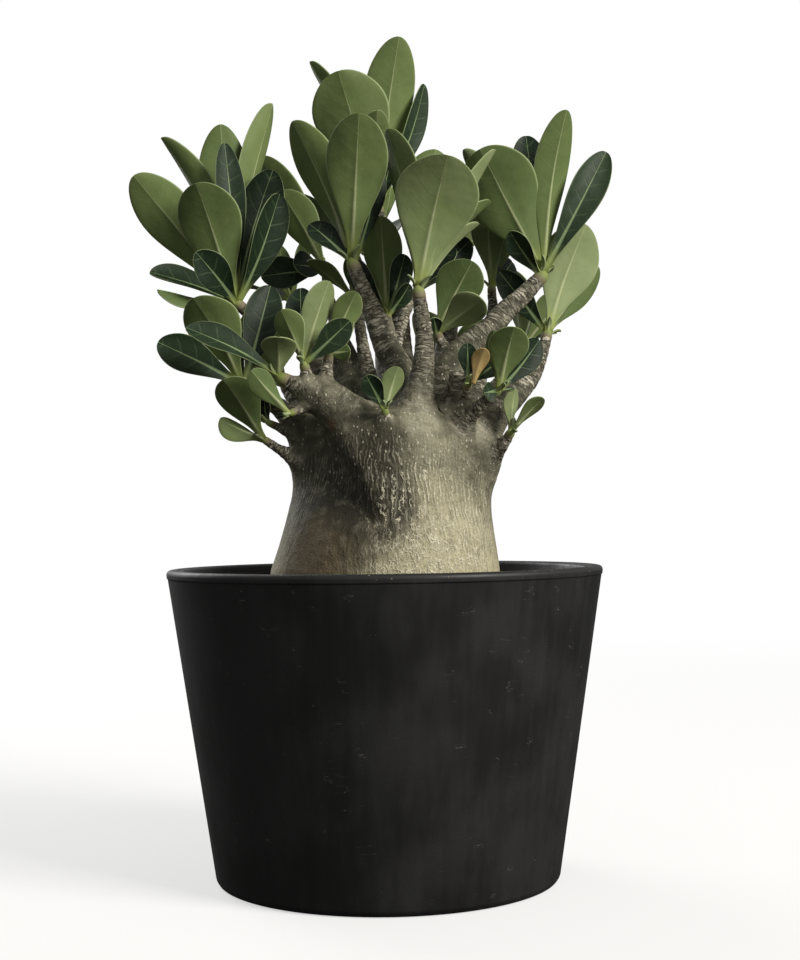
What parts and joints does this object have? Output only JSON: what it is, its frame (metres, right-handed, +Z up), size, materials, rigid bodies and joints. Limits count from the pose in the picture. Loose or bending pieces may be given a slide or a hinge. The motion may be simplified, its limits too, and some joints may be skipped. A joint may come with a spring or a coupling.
{
  "type": "potted desert rose adenium",
  "caption": "Desert rose with a swollen grey stem, ringed upright branches and rosettes of broad rounded leathery leaves, in a tapered matte black plastic pot.",
  "frame": {"origin": "centre of the pot's underside, on the surface that it stands on", "axes": "+Z up, +Y away from the side that the picture shows, +X to its right"},
  "size_m": [0.2252, 0.2173, 0.3974],
  "materials": {
    "pot": "matte black moulded plastic, faint scuffs and dust",
    "soil": "gritty potting mix of bark and pumice, dull",
    "bark": "smooth grey-green succulent bark with pale fine wrinkles, ringed leaf scars on the branches",
    "leaf": "leathery leaf, satin dark upper side, matte pale green underside, pale midrib and margin",
    "leaf_yellow": "dying leaf, matte ochre yellow"
  },
  "bodies": {
    "root": {"leaves_back_left": "leaf", "leaves_back_right": "leaf", "leaves_basal": "leaf", "leaves_behind_centre": "leaf", "leaves_centre_left": "leaf", "leaves_far_left": "leaf", "leaves_far_right": "leaf", "leaves_front": "leaf", "leaves_front_left": "leaf", "leaves_front_left_b": "leaf", "leaves_front_left_c": "leaf", "leaves_front_left_low": "leaf", "leaves_front_right": "leaf", "leaves_inner": "leaf", "leaves_left": "leaf", "leaves_low_centre": "leaf", "leaves_low_left": "leaf", "leaves_low_right": "leaf", "leaves_mid_right": "leaf", "leaves_rear": "leaf", "leaves_rear_left": "leaf", "leaves_rear_low": "leaf", "leaves_rear_low_left": "leaf", "leaves_rear_low_right": "leaf", "leaves_rear_right": "leaf", "leaves_right": "leaf", "leaves_stump_shoot": "leaf", "leaves_top": "leaf", "leaves_twig_left": "leaf", "pot": "pot", "soil": "soil", "woody_body": "bark", "yellow_leaf": "leaf_yellow"}
  },
  "joints": []
}
